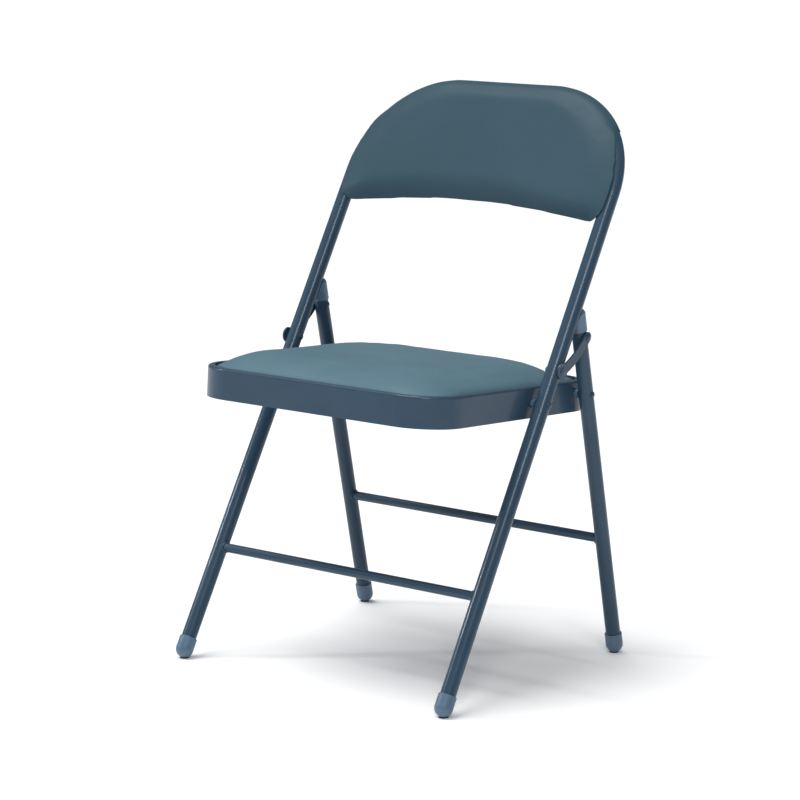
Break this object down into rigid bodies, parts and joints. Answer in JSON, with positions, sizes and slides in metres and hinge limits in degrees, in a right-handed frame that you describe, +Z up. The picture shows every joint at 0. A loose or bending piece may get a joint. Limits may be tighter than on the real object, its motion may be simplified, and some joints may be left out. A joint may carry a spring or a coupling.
{
  "type": "folding chair",
  "caption": "Folding chair with a bent-tube frame, cushioned seat and back, rear legs that fold with the seat, side links, crossbars and plastic feet.",
  "frame": {"origin": "on the floor, at the middle of the chair's outline in X and Y", "axes": "+Z up, the sitter faces -Y, so the sitter's left is +X; left and right in node names are the sitter's"},
  "size_m": [0.473, 0.4623, 0.7905],
  "materials": {
    "frame_paint": "satin slate-blue powder coat",
    "rivet_paint": "satin slate-blue paint over a rivet head",
    "rivet_steel": "zinc plated",
    "screw_steel": "zinc plated",
    "seat_vinyl": "vinyl-coated cloth, soft, fine leather grain, blue-grey",
    "back_vinyl": "vinyl-coated cloth, soft, fine leather grain, blue-grey",
    "board": "raw fibreboard",
    "foot_plastic": "moulded blue-grey plastic",
    "glide_rubber": "black"
  },
  "bodies": {
    "front_frame": {"main_frame_tube": "frame_paint", "front_crossbar": "frame_paint", "backrest_panel": "frame_paint", "backrest_board": "board", "backrest_pad": "back_vinyl", "backrest_screws": "screw_steel", "front_foot_left": "foot_plastic", "front_foot_right": "foot_plastic", "front_glides": "glide_rubber", "seat_pivot_rivets": "rivet_paint", "link_pivot_rivets": "rivet_paint"},
    "seat": {"seat_pan": "frame_paint", "seat_board": "board", "seat_cushion": "seat_vinyl", "seat_screws": "screw_steel", "seat_side_plate_left": "frame_paint", "seat_side_plate_right": "frame_paint", "seat_pivot_spacers": "foot_plastic", "rear_pivot_spacers": "foot_plastic"},
    "rear_legs": {"rear_leg_left": "frame_paint", "rear_leg_right": "frame_paint", "rear_crossbar": "frame_paint", "rear_leg_cap_left": "foot_plastic", "rear_leg_cap_right": "foot_plastic", "rear_foot_left": "foot_plastic", "rear_foot_right": "foot_plastic", "rear_glides": "glide_rubber", "rear_pivot_rivets": "rivet_paint", "rear_link_studs": "rivet_steel"},
    "left_link": {"side_link_left": "frame_paint", "link_rivet_left": "rivet_paint"},
    "right_link": {"side_link_right": "frame_paint", "link_rivet_right": "rivet_paint"}
  },
  "joints": [
    {"name": "seat_fold", "type": "hinge", "parent": "front_frame", "child": "seat", "pos_m": [0, -0.00678, 0.379], "axis": [-1, 0, 0], "range_deg": [0, 105.47]},
    {"name": "rear_leg_fold", "type": "hinge", "parent": "seat", "child": "rear_legs", "pos_m": [0, 0.09791, 0.379], "axis": [-1, 0, 0], "range_deg": [-61.48, 0]},
    {"name": "left_link_swing", "type": "hinge", "parent": "front_frame", "child": "left_link", "pos_m": [0, 0.01775, 0.4215], "axis": [-1, 0, 0], "range_deg": [0, 131.53]},
    {"name": "right_link_swing", "type": "hinge", "parent": "front_frame", "child": "right_link", "pos_m": [0, 0.01775, 0.4215], "axis": [-1, 0, 0], "range_deg": [0, 131.53]}
  ],
  "couplings": [
    {"joint": "rear_leg_fold", "follows": "seat_fold", "ratio": -0.5828},
    {"joint": "left_link_swing", "follows": "seat_fold", "ratio": 1.247},
    {"joint": "right_link_swing", "follows": "seat_fold", "ratio": 1.247}
  ]
}
